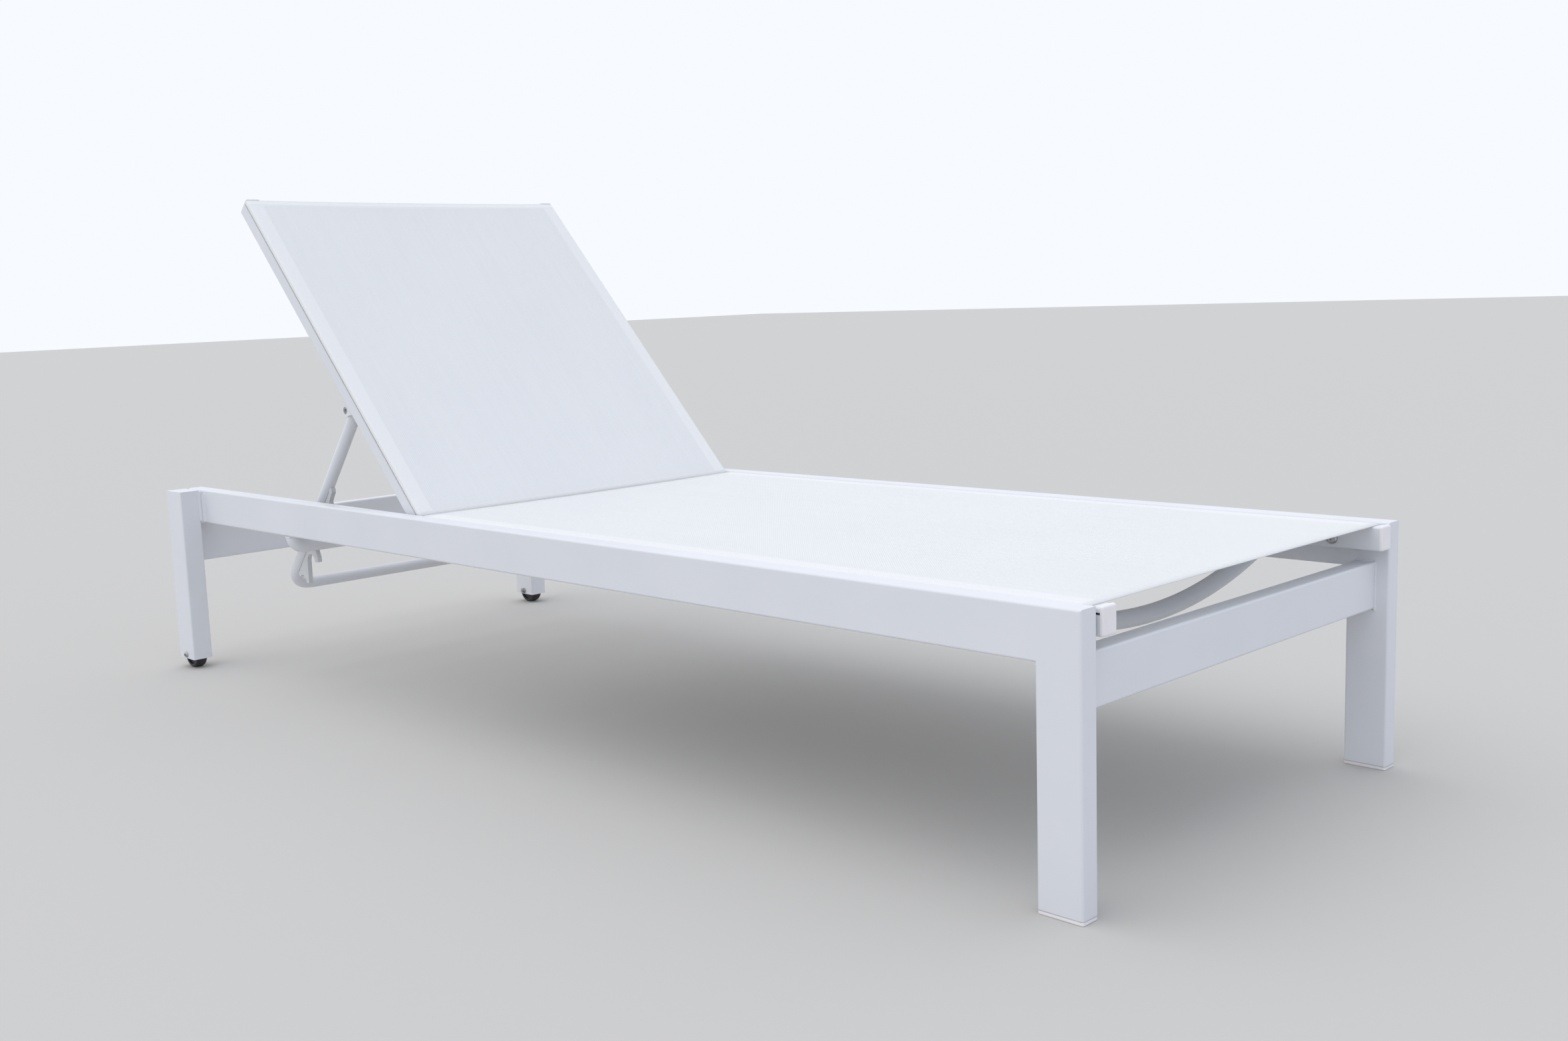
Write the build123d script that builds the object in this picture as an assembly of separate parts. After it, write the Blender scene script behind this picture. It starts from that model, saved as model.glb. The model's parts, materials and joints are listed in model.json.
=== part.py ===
"""Reclining sun lounger: white aluminium frame, two slings, a folding prop and two wheels.

Millimetres. +X points to the foot end, +Z up, the floor is z = 0, and the lounger is
symmetric about y = 0. The near side is -Y. The backrest is drawn lying flat and then
raised about its hinge; the prop is drawn level and then swung down about its pivot.
"""

import os
from math import atan2, degrees, sqrt

from build123d import *

# Overall
OVERALL_LENGTH = 1934.0
CAP_PROUD = 4.0
RAIL_SPREAD = 710.0
SEAT_HEIGHT = 325.0
HEAD_X = -OVERALL_LENGTH / 2
FOOT_X = OVERALL_LENGTH / 2 - CAP_PROUD
EDGE_R = 3.0
WALL = 2.0
CUT_OVER = 1.0
PLUG_FIT = WALL + 0.2
PLUG_DEPTH = 14.0

# Side rails and legs
RAIL_T = 27.0
RAIL_H = 60.0
RAIL_OUT = RAIL_SPREAD / 2
RAIL_IN = RAIL_OUT - RAIL_T
RAIL_BOTTOM = SEAT_HEIGHT - RAIL_H
RAIL_PLUG_T = 2.0
LEG_W = 56.0
GLIDE_H = 5.0
GLIDE_PLUG_H = 18.0
GLIDE_SEAM = 0.7
GLIDE_R = 1.5
CORNER_WELD_R = 8.0

# Head legs stand outboard of the rails so that loungers stack
HEAD_LEG_GAP = 8.0
HEAD_LEG_T = 36.0
HEAD_LEG_BOTTOM = 18.0
HEAD_LEG_LID_T = 3.0
HEAD_LEG_IN = RAIL_OUT + HEAD_LEG_GAP
HEAD_LEG_OUT = HEAD_LEG_IN + HEAD_LEG_T
WELD_BLOCK_DROP = 3.0
WELD_RAIL_R = 8.0

# Wheels
WHEEL_D = 50.0
WHEEL_W = 20.0
WHEEL_X = HEAD_X + LEG_W / 2
WHEEL_Y = (HEAD_LEG_IN + HEAD_LEG_OUT) / 2
AXLE_D = 6.0
AXLE_HEAD_D = 11.0
AXLE_HEAD_H = 4.0
AXLE_NUT_ACROSS = 10.0
AXLE_NUT_H = 5.0
AXLE_THREAD_OVER = 2.0
BUSH_D = 14.0
SIDE_PLAY = 0.3
TREAD_R = 3.5
WHEEL_RECESS = 3.0
WHEEL_RECESS_D = (0.76 * WHEEL_D, 0.36 * WHEEL_D)

# Cross rails
FOOT_CROSS_INSET = 18.0
FOOT_CROSS_T = 27.0
FOOT_CROSS_Z = (212.0, 273.0)
HEAD_CROSS_T = 21.0
HEAD_CROSS_Z = (192.0, RAIL_BOTTOM)

# Hook-rest tube: the dropped cross tube that the racks hang on
HOOK_TUBE_X = FOOT_X - 1580.0
HOOK_TUBE_Z = 246.0
HOOK_TUBE_D = 25.0
HOOK_TUBE_BEND = RAIL_BOTTOM - HOOK_TUBE_Z - 0.5
COLLAR_H = 3.5
COLLAR_R = (HOOK_TUBE_D / 2 - 1.0, HOOK_TUBE_D / 2 + 0.9)

# Sling rails: an extrusion with a spline channel on its outer side
SLING_T = 2.0
LIP_T = 1.5
LIP_DROP = 6.5
SRAIL_OUT = 323.0
SRAIL_IN = 298.0
SRAIL_H = 31.0
SRAIL_BOTTOM = SEAT_HEIGHT - SLING_T - SRAIL_H
SRAIL_TOP = SRAIL_BOTTOM + SRAIL_H
CHANNEL_D = 8.0
CHANNEL_INSET = 7.5
CHANNEL_DROP = 7.5
SLOT_H = 2.6
SPLINE_D = 6.4
CAVITY_H = 14.0
POCKET_W = 8.0

# Seat
SEAT_RAIL_HEAD_X = FOOT_X - 1197.0
HEAD_CAP_T = 3.0
CAP_OVER_SLING = 1.0
CAP_ROUNDING = 0.7
SEAT_SLING_X = (FOOT_X - 1205.0, FOOT_X - 9.0)
SEAT_BOW_X = {"foot": FOOT_X - 143.0, "middle": FOOT_X - 640.0, "head": FOOT_X - 1120.0}
BOW_D = 22.0
BOW_DROP = 61.0
BOW_END_Z = 307.0
BOW_OVER = 12.0
SPACER_X = [FOOT_X - 62.0, FOOT_X - 450.0, FOOT_X - 850.0, FOOT_X - 1170.0]
SPACER_D = 16.0
RAIL_BOLT_D = 6.0
RAIL_BOLT_HEAD_D = 15.0
RAIL_BOLT_HEAD_H = 3.5
RAIL_BOLT_Z = 304.0
RAIL_BOLT_TIP = WALL + 4.0

# Backrest, measured from its hinge
HINGE_X = FOOT_X - 1220.0
HINGE_Z = 308.5
BACK_ANGLE = 46.8
BACK_LENGTH = 703.0
HINGE_BOLT_D = 8.0
HINGE_HEAD_D = 17.0
HINGE_HEAD_H = 4.0
HINGE_BOLT_TIP = WALL + 6.0
HINGE_SPACER_D = 20.0
HINGE_END_R = 16.5
HINGE_CAP_FROM = 9.0
BACK_SLING_U = (8.0, 697.0)
BACK_BOW_U = {"upper": 552.0, "lower": 160.0}

# Prop: a bail pinned under the backrest, with a rack of hooks on each leg
PIVOT_U = 263.0
PIVOT_W = -32.7
PROP_ANGLE = 50.4
PROP_LEG = 411.0
PROP_Y = 295.0
PROP_D = 20.0
PROP_BEND = 38.0
PROP_TOP = 8.0
LUG_Y = (309.0, 317.0)
LUG_R = 11.0
LUG_FOOT = 44.0
PIVOT_BOLT_D = 8.0
PIVOT_HEAD_D = 12.0
PIVOT_HEAD_IN = 0.8
PIVOT_RECESS = 3.5
PIVOT_SOCKET = (3.4, 1.6)
PIVOT_NUT_H = 5.0
PIVOT_NUT_ACROSS = 13.0
PIVOT_NUT_GAP = 0.5
PIVOT_THREAD_OVER = 2.0
PIVOT_WASHER_D = 15.0
PROP_PLUG_T = 3.0
PROP_PLUG_ROUNDING = 2.4

# Rack outline, as (along the leg from the pivot, out from the leg towards the foot end)
RACK_T = 8.0
RACK_OUTLINE = [
    (164, 7), (164, 14), (168, 18), (187, 20), (196, 31), (212, 36), (236, 33), (258, 26),
    (262, 14), (291.8, 14), (292.5, 32), (298, 43), (304, 49), (312, 42), (358.5, 46.5),
    (363.5, 40), (370, 18), (370, 7),
]
RACK_ROUNDING = 2.0
RACK_SLOTS = [((319.5, 31.8), 13.0), ((369.1, 30.6), 11.0)]
RACK_SLOT_REACH = 45.0

RUNNING_CLEARANCE = 0.05

# Socket-head bolts, as shares of the head's height and the shank's width
DOME_ROUNDING = 0.85
SOCKET_DEPTH = 0.6
SOCKET_R = 1 / 3

BACK_AXIS = Axis((HINGE_X, 0, HINGE_Z), (0, 1, 0))


# ---- helpers -------------------------------------------------------------------------

def block(x, y, z):
    """A box between the given (low, high) pairs."""
    size = [high - low for low, high in (x, y, z)]
    centre = [(high + low) / 2 for low, high in (x, y, z)]
    return Pos(*centre) * Box(*size)


def inset(span, amount):
    return (span[0] + amount, span[1] - amount)


def box_tube(x, y, z, along):
    """A rectangular tube with rounded long edges, open at both ends; along is "X", "Y" or "Z"."""
    outer = fillet(block(x, y, z).edges().filter_by(getattr(Axis, along)), EDGE_R)
    spans = [span if name == along else inset(span, WALL) for span, name in zip((x, y, z), "XYZ")]
    return outer - block(*spans)


def rod(x, z, y, diameter):
    """A cylinder along Y between the (low, high) pair y."""
    length = y[1] - y[0]
    return Pos(x, (y[0] + y[1]) / 2, z) * Rot(X=90) * Cylinder(diameter / 2, length)


def ring(x, z, y, outer, inner):
    return rod(x, z, y, outer) - rod(x, z, y, inner)


def dome_bolt(x, z, face_y, tip_y, shank, head, head_h):
    """A socket-head bolt along Y: its domed head stands on face_y, its shank ends at tip_y."""
    outward = 1 if face_y > tip_y else -1
    cap = fillet(Cylinder(head / 2, head_h, align=(Align.CENTER, Align.CENTER, Align.MIN))
                 .edges().filter_by(GeomType.CIRCLE).group_by(Axis.Z)[-1], head_h * DOME_ROUNDING)
    socket = extrude(Pos(0, 0, head_h) * RegularPolygon(shank * SOCKET_R, 6), amount=-head_h * SOCKET_DEPTH)
    turned = Pos(x, face_y, z) * Rot(X=-90 * outward) * (cap - socket)
    return turned + rod(x, z, (min(face_y, tip_y), max(face_y, tip_y)), shank)


def hex_nut(x, z, y, across, bore):
    """A nut along Y between the (low, high) pair y."""
    flat = Plane.XZ * (RegularPolygon(across / sqrt(3), 6) - Circle(bore / 2))
    return Pos(x, y[1], z) * extrude(flat, amount=y[1] - y[0])


def bent_tube(points, bend, outer, inner=None):
    """A round tube swept along a polyline with rounded corners."""
    path = FilletPolyline(*points, radius=bend)
    return sweep_round(path, outer, inner)


def sweep_round(path, outer, inner=None):
    section = Circle(outer / 2)
    if inner:
        section = section - Circle(inner / 2)
    return sweep(Plane(origin=path @ 0, z_dir=path % 0) * section, path=path)


def far(shape):
    """The mirror image on the far (+Y) side."""
    return mirror(shape, about=Plane.XZ)


def pair(shape):
    """A near-side shape and its mirror image, as one node."""
    return Compound([*shape.solids(), *far(shape).solids()])


def group(shapes):
    return Compound([solid for shape in shapes for solid in shape.solids()])


# ---- welded frame --------------------------------------------------------------------

def corner_mitre(keep_rail):
    """The half of the foot corner that the rail (or the leg) keeps."""
    reach = 400.0
    inner = (FOOT_X - LEG_W, RAIL_BOTTOM)
    outer = (FOOT_X, SEAT_HEIGHT)
    slope = (outer[1] - inner[1]) / (outer[0] - inner[0])
    low = (inner[0] - reach, inner[1] - reach * slope)
    high = (outer[0] + reach, outer[1] + reach * slope)
    corner = (low[0], high[1]) if keep_rail else (high[0], low[1])
    wedge = Plane.XZ * Polygon(low, high, corner, align=None)
    return extrude(wedge, amount=RAIL_OUT, both=True)


def side_rail():
    span_x = (HEAD_X + RAIL_PLUG_T, FOOT_X)
    tube = box_tube(span_x, (-RAIL_OUT, -RAIL_IN), (RAIL_BOTTOM, SEAT_HEIGHT), "X")
    rail = tube - corner_mitre(keep_rail=False)
    inner_wall = (-RAIL_IN - 2 * WALL, -RAIL_IN + CUT_OVER)
    for x in SPACER_X:
        rail -= rod(x, RAIL_BOLT_Z, inner_wall, RAIL_BOLT_D)
    return rail - rod(HINGE_X, HINGE_Z, inner_wall, HINGE_BOLT_D)


def rail_end_plug():
    plate = block((HEAD_X, HEAD_X + RAIL_PLUG_T), (-RAIL_OUT, -RAIL_IN), (RAIL_BOTTOM, SEAT_HEIGHT))
    plate = fillet(plate.edges().filter_by(Axis.X), EDGE_R)
    stub = block((HEAD_X + RAIL_PLUG_T, HEAD_X + PLUG_DEPTH), inset((-RAIL_OUT, -RAIL_IN), PLUG_FIT),
                 inset((RAIL_BOTTOM, SEAT_HEIGHT), PLUG_FIT))
    return plate + stub


def foot_leg():
    tube = box_tube((FOOT_X - LEG_W, FOOT_X), (-RAIL_OUT, -RAIL_IN), (GLIDE_H, SEAT_HEIGHT), "Z")
    return tube - corner_mitre(keep_rail=True)


def corner_weld():
    """The concave weld fillet under the rail where it meets the foot leg."""
    x = FOOT_X - LEG_W
    span_y = inset((-RAIL_OUT, -RAIL_IN), EDGE_R)
    square = block((x - CORNER_WELD_R, x), span_y, (RAIL_BOTTOM - CORNER_WELD_R, RAIL_BOTTOM))
    return square - rod(x - CORNER_WELD_R, RAIL_BOTTOM - CORNER_WELD_R, span_y, 2 * CORNER_WELD_R)


def foot_glide():
    span_x = (FOOT_X - LEG_W, FOOT_X)
    span_y = (-RAIL_OUT, -RAIL_IN)
    shoe = fillet(block(span_x, span_y, (0, GLIDE_H)).edges().filter_by(Axis.Z), EDGE_R)
    shoe = fillet(shoe.faces().sort_by(Axis.Z)[0].edges(), GLIDE_R)
    shoe = chamfer(shoe.faces().sort_by(Axis.Z)[-1].edges(), GLIDE_SEAM)
    plug = block(inset(span_x, PLUG_FIT), inset(span_y, PLUG_FIT), (GLIDE_H, GLIDE_H + GLIDE_PLUG_H))
    return shoe + plug


def head_leg():
    span_x = (HEAD_X, HEAD_X + LEG_W)
    span_y = (-HEAD_LEG_OUT, -HEAD_LEG_IN)
    tube = box_tube(span_x, span_y, (HEAD_LEG_BOTTOM, SEAT_HEIGHT), "Z")
    lid = block(inset(span_x, WALL), inset(span_y, WALL), (SEAT_HEIGHT - HEAD_LEG_LID_T, SEAT_HEIGHT))
    axle_hole = rod(WHEEL_X, WHEEL_D / 2, inset(span_y, -CUT_OVER), AXLE_D)
    return tube + lid - axle_hole


def head_leg_weld_block():
    """The filled weld that carries the leg beside the rail, with a sloping underside."""
    face = HEAD_X + LEG_W
    span_z = (RAIL_BOTTOM, SEAT_HEIGHT - EDGE_R)
    inner = block((HEAD_X, face), (-HEAD_LEG_IN, -RAIL_OUT), span_z)
    inner = chamfer(inner.edges().filter_by(Axis.Y).group_by(Axis.Z)[0], WELD_BLOCK_DROP)
    corner = block((face, face + WELD_RAIL_R), (-RAIL_OUT - WELD_RAIL_R, -RAIL_OUT),
                   inset(span_z, WELD_BLOCK_DROP))
    hollow = Pos(face + WELD_RAIL_R, -RAIL_OUT - WELD_RAIL_R, SEAT_HEIGHT - RAIL_H / 2)
    return inner + (corner - hollow * Cylinder(WELD_RAIL_R, 2 * RAIL_H))


def foot_cross_rail():
    high = FOOT_X - FOOT_CROSS_INSET
    return box_tube((high - FOOT_CROSS_T, high), (-RAIL_IN, RAIL_IN), FOOT_CROSS_Z, "Y")


def head_cross_rail():
    return box_tube((HEAD_X, HEAD_X + HEAD_CROSS_T), (-HEAD_LEG_IN, HEAD_LEG_IN), HEAD_CROSS_Z, "Y")


def hook_tube_points():
    y = RAIL_OUT - RAIL_T / 2
    ends = [(HOOK_TUBE_X, -y, RAIL_BOTTOM), (HOOK_TUBE_X, -y, HOOK_TUBE_Z)]
    return ends + [(HOOK_TUBE_X, y, HOOK_TUBE_Z), (HOOK_TUBE_X, y, RAIL_BOTTOM)]


def hook_rest_tube():
    return bent_tube(hook_tube_points(), HOOK_TUBE_BEND, HOOK_TUBE_D, HOOK_TUBE_D - 2 * WALL)


def hook_rest_weld():
    """The collar of weld where the tube's near end meets the rail's underside."""
    y = -(RAIL_OUT - RAIL_T / 2)
    collar = Cone(*COLLAR_R, COLLAR_H)
    solid_tube = bent_tube(hook_tube_points(), HOOK_TUBE_BEND, HOOK_TUBE_D)
    return Pos(HOOK_TUBE_X, y, RAIL_BOTTOM - COLLAR_H / 2) * collar - solid_tube


# ---- slings and their rails ----------------------------------------------------------

def channel_centre():
    return (-SRAIL_OUT + CHANNEL_INSET, SRAIL_TOP - CHANNEL_DROP)


def sling_rail_profile():
    """Section of the near-side sling rail, with y across and z up."""
    middle = (-(SRAIL_OUT + SRAIL_IN) / 2, SRAIL_BOTTOM + SRAIL_H / 2)
    body = Pos(*middle) * RectangleRounded(SRAIL_OUT - SRAIL_IN, SRAIL_H, EDGE_R)
    cavity_z = SRAIL_BOTTOM + WALL + CAVITY_H / 2
    cavity = Pos(middle[0], cavity_z) * Rectangle(SRAIL_OUT - SRAIL_IN - 2 * WALL, CAVITY_H)
    y, z = channel_centre()
    channel = Pos(y, z) * Circle(CHANNEL_D / 2)
    slot = Pos(y - CHANNEL_INSET / 2, z) * Rectangle(CHANNEL_INSET, SLOT_H)
    pocket = Pos(-SRAIL_IN - WALL - POCKET_W / 2, z) * Rectangle(POCKET_W, 2 * (CHANNEL_DROP - WALL))
    return body - cavity - channel - slot - pocket


def sling_rail(x):
    return extrude(Plane.YZ.offset(x[0]) * sling_rail_profile(), amount=x[1] - x[0])


def sling(x):
    """Fabric across both rails, folded down their outer sides to the spline slots."""
    out = SRAIL_OUT + LIP_T
    sheet = block(x, (-out, out), (SRAIL_TOP, SRAIL_TOP + SLING_T))
    lip = block(x, (-out, -SRAIL_OUT), (SRAIL_TOP - LIP_DROP, SRAIL_TOP))
    return sheet + lip + far(lip)


def spline(x):
    y, z = channel_centre()
    return Pos((x[0] + x[1]) / 2, y, z) * Rot(Y=90) * Cylinder(SPLINE_D / 2, x[1] - x[0])


def bow(x, end_z):
    """A dropped stretcher: an arc from rail to rail, cut square to the rails' inner faces."""
    radius = (SRAIL_IN ** 2 + BOW_DROP ** 2) / (2 * BOW_DROP)
    over = SRAIL_IN + BOW_OVER
    low = end_z - BOW_DROP
    over_z = low + radius - sqrt(radius ** 2 - over ** 2)
    path = ThreePointArc((x, -over, over_z), (x, 0, low), (x, over, over_z))
    tube = sweep_round(path, BOW_D, BOW_D - 2 * WALL)
    return tube & block((x - BOW_D, x + BOW_D), (-SRAIL_IN, SRAIL_IN), (low - BOW_D, end_z + 2 * BOW_D))


def rail_end_cap(face_x, outward):
    """A plastic cap on a sling rail's end: outward is +1 or -1 along X."""
    proud = CAP_PROUD if outward > 0 else HEAD_CAP_T
    tip = face_x + outward * proud
    top = SRAIL_TOP + CAP_OVER_SLING if outward > 0 else SRAIL_TOP
    lid = block((min(face_x, tip), max(face_x, tip)), (-SRAIL_OUT, -SRAIL_IN), (SRAIL_BOTTOM, top))
    lid = fillet(lid.edges().filter_by(Axis.X), EDGE_R)
    lid = fillet(lid.faces().sort_by(Axis.X)[-1 if outward > 0 else 0].edges(), proud * CAP_ROUNDING)
    root = face_x - outward * PLUG_DEPTH
    plug = block((min(face_x, root), max(face_x, root)), inset((-SRAIL_OUT, -SRAIL_IN), PLUG_FIT),
                 (SRAIL_BOTTOM + PLUG_FIT, SRAIL_BOTTOM + 2 * WALL + CAVITY_H - PLUG_FIT))
    return lid + plug


def seat_rail():
    rail = sling_rail((SEAT_RAIL_HEAD_X, FOOT_X))
    for x in SPACER_X:
        rail -= rod(x, RAIL_BOLT_Z, inset((-SRAIL_OUT, -SRAIL_IN), -CUT_OVER), RAIL_BOLT_D)
    return rail


def seat_rail_spacers():
    rings = [ring(x, RAIL_BOLT_Z, (-RAIL_IN, -SRAIL_OUT), SPACER_D, RAIL_BOLT_D) for x in SPACER_X]
    return pair(group(rings))


def seat_rail_bolts():
    tip = -RAIL_IN - RAIL_BOLT_TIP
    bolts = [dome_bolt(x, RAIL_BOLT_Z, -SRAIL_IN, tip, RAIL_BOLT_D, RAIL_BOLT_HEAD_D, RAIL_BOLT_HEAD_H)
             for x in SPACER_X]
    return pair(group(bolts))


def seat_rail_end_caps():
    return pair(group([rail_end_cap(FOOT_X, 1), rail_end_cap(SEAT_RAIL_HEAD_X, -1)]))


# ---- backrest, drawn flat ------------------------------------------------------------

def raised(shape):
    return shape.rotate(BACK_AXIS, BACK_ANGLE)


def back_x(along):
    """X of a point at the given distance up the flat backrest."""
    return HINGE_X - along


def hinge_round():
    return rod(HINGE_X, HINGE_Z, inset((-SRAIL_OUT, -SRAIL_IN), -CUT_OVER), 2 * HINGE_END_R)


def back_rail():
    rail = sling_rail((back_x(BACK_LENGTH - CAP_PROUD), back_x(-HINGE_CAP_FROM)))
    tail = block((HINGE_X, HINGE_X + 2 * HINGE_END_R), (-SRAIL_OUT, -SRAIL_IN),
                 inset((SRAIL_BOTTOM, SRAIL_TOP), -CUT_OVER))
    rail -= tail - hinge_round()
    bore = HINGE_BOLT_D + 2 * RUNNING_CLEARANCE
    return rail - rod(HINGE_X, HINGE_Z, inset((-SRAIL_OUT, -SRAIL_IN), -CUT_OVER), bore)


def back_top_cap():
    return Pos(back_x(BACK_LENGTH - CAP_PROUD), 0, 0) * rail_end_cap_at_origin()


def rail_end_cap_at_origin():
    """The domed cap turned to face the head end, standing on x = 0."""
    return mirror(rail_end_cap(0, 1), about=Plane.YZ)


def back_hinge_cap():
    face = HINGE_X + HINGE_CAP_FROM
    slab = block((face, face + HINGE_END_R), (-SRAIL_OUT, -SRAIL_IN), (SRAIL_BOTTOM, SRAIL_TOP))
    return slab & hinge_round()


def lug():
    """Plate under the backrest rail that carries the prop's pivot."""
    x = back_x(PIVOT_U)
    z = HINGE_Z + PIVOT_W
    root = SRAIL_BOTTOM
    shape = Polygon((x - LUG_FOOT / 2, root), (x + LUG_FOOT / 2, root), (x + LUG_R, z), (x - LUG_R, z),
                    align=None)
    plate = extrude(Plane.XZ.offset(LUG_Y[0]) * shape, amount=LUG_Y[1] - LUG_Y[0], dir=(0, -1, 0))
    plate += rod(x, z, (-LUG_Y[1], -LUG_Y[0]), 2 * LUG_R)
    plate -= rod(x, z, (-LUG_Y[1] - CUT_OVER, -LUG_Y[0] + CUT_OVER), PIVOT_BOLT_D)
    return plate - rod(x, z, (-LUG_Y[1] - CUT_OVER, -LUG_Y[1] + PIVOT_RECESS), PIVOT_HEAD_D)


def prop_bolt():
    x = back_x(PIVOT_U)
    z = HINGE_Z + PIVOT_W
    face = -LUG_Y[1] + PIVOT_HEAD_IN
    seat = -LUG_Y[1] + PIVOT_RECESS
    radius, depth = PIVOT_SOCKET
    head = rod(x, z, (face, seat), PIVOT_HEAD_D)
    head -= Pos(x, face, z) * extrude(Plane.XZ * RegularPolygon(radius, 6), amount=-depth)
    tip = -(PROP_Y - PROP_D / 2 - PIVOT_NUT_H - PIVOT_THREAD_OVER)
    return head + rod(x, z, (seat, tip), PIVOT_BOLT_D)


def prop_nut():
    high = -(PROP_Y - PROP_D / 2 - PIVOT_NUT_H - PIVOT_NUT_GAP)
    span = (high - PIVOT_NUT_H, high)
    return hex_nut(back_x(PIVOT_U), HINGE_Z + PIVOT_W, span, PIVOT_NUT_ACROSS, PIVOT_BOLT_D)


def prop_washer():
    y = (-LUG_Y[0], -(PROP_Y + PROP_D / 2 + SIDE_PLAY))
    return ring(back_x(PIVOT_U), HINGE_Z + PIVOT_W, y, PIVOT_WASHER_D, PIVOT_BOLT_D)


# ---- prop, drawn level ---------------------------------------------------------------

def pivot_point():
    """The prop's pivot once the backrest is raised."""
    flat = Vector(back_x(PIVOT_U), 0, HINGE_Z + PIVOT_W)
    return Vertex(flat).rotate(BACK_AXIS, BACK_ANGLE).center()


PIVOT = pivot_point()


def swung(shape):
    return shape.rotate(Axis((PIVOT.X, 0, PIVOT.Z), (0, 1, 0)), -PROP_ANGLE)


def prop_tube():
    top = PIVOT.X + PROP_TOP
    bar = PIVOT.X - PROP_LEG
    points = [(x, y, PIVOT.Z) for x, y in ((top, -PROP_Y), (bar, -PROP_Y), (bar, PROP_Y), (top, PROP_Y))]
    tube = bent_tube(points, PROP_BEND, PROP_D, PROP_D - 2 * WALL)
    reach = PROP_Y + PROP_D
    return tube - rod(PIVOT.X, PIVOT.Z, (-reach, reach), PIVOT_BOLT_D + 2 * RUNNING_CLEARANCE)


def prop_end_plug():
    dome = Cylinder(PROP_D / 2, PROP_PLUG_T, align=(Align.CENTER, Align.CENTER, Align.MIN))
    dome = fillet(dome.faces().sort_by(Axis.Z)[-1].edges(), PROP_PLUG_ROUNDING)
    return Pos(PIVOT.X + PROP_TOP, -PROP_Y, PIVOT.Z) * Rot(Y=90) * dome


def down_along_leg():
    """World down, as seen by the leg: (along it, out from it)."""
    down = Vector(0, 0, -1).rotate(Axis.Y, PROP_ANGLE)
    return (-down.X, -down.Z)


def rack_plate():
    """Cast rack welded to the leg, with two hooks that open downwards."""
    along, out = down_along_leg()
    shape = Polygon(*RACK_OUTLINE, align=None)
    for (t, n), radius in RACK_SLOTS:
        end = (t + RACK_SLOT_REACH * along, n + RACK_SLOT_REACH * out)
        middle = ((t + end[0]) / 2, (n + end[1]) / 2)
        lane = Pos(*middle) * Rot(Z=degrees(atan2(out, along))) * Rectangle(RACK_SLOT_REACH, 2 * radius)
        shape -= Pos(t, n) * Circle(radius) + lane
    shape = offset(offset(shape, amount=-RACK_ROUNDING), amount=RACK_ROUNDING)
    side = Plane(origin=(PIVOT.X, -PROP_Y + RACK_T / 2, PIVOT.Z), x_dir=(-1, 0, 0), z_dir=(0, -1, 0))
    plate = extrude(side * shape, amount=RACK_T, dir=(0, -1, 0))
    tube = Pos(PIVOT.X - PROP_LEG / 2, -PROP_Y, PIVOT.Z) * Rot(Y=90) * Cylinder(PROP_D / 2, 2 * PROP_LEG)
    return plate - tube


# ---- hinge and wheels ----------------------------------------------------------------

def hinge_bolt():
    face = -SRAIL_IN + SIDE_PLAY
    tip = -RAIL_IN - HINGE_BOLT_TIP
    return dome_bolt(HINGE_X, HINGE_Z, face, tip, HINGE_BOLT_D, HINGE_HEAD_D, HINGE_HEAD_H)


def hinge_spacer():
    return ring(HINGE_X, HINGE_Z, (-RAIL_IN, -SRAIL_OUT - SIDE_PLAY), HINGE_SPACER_D, HINGE_BOLT_D)


def wheel():
    middle = WHEEL_D / 2
    span = (-WHEEL_Y - WHEEL_W / 2, -WHEEL_Y + WHEEL_W / 2)
    body = fillet(rod(WHEEL_X, middle, span, WHEEL_D).edges().filter_by(GeomType.CIRCLE), TREAD_R)
    for low in (span[0], span[1] - WHEEL_RECESS):
        body -= ring(WHEEL_X, middle, (low, low + WHEEL_RECESS), *WHEEL_RECESS_D)
    return body - rod(WHEEL_X, middle, inset(span, -CUT_OVER), AXLE_D + 2 * RUNNING_CLEARANCE)


def wheel_axle_bolt():
    tip = -HEAD_LEG_IN + AXLE_NUT_H + AXLE_THREAD_OVER
    return dome_bolt(WHEEL_X, WHEEL_D / 2, -HEAD_LEG_OUT, tip, AXLE_D, AXLE_HEAD_D, AXLE_HEAD_H)


def wheel_axle_nut():
    span = (-HEAD_LEG_IN, -HEAD_LEG_IN + AXLE_NUT_H)
    return hex_nut(WHEEL_X, WHEEL_D / 2, span, AXLE_NUT_ACROSS, AXLE_D)


def wheel_bushes():
    outer = (-HEAD_LEG_OUT + WALL, -WHEEL_Y - WHEEL_W / 2 - SIDE_PLAY)
    inner = (-WHEEL_Y + WHEEL_W / 2 + SIDE_PLAY, -HEAD_LEG_IN - WALL)
    return pair(group([ring(WHEEL_X, WHEEL_D / 2, span, BUSH_D, AXLE_D) for span in (outer, inner)]))


# ---- all nodes -----------------------------------------------------------------------

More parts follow.
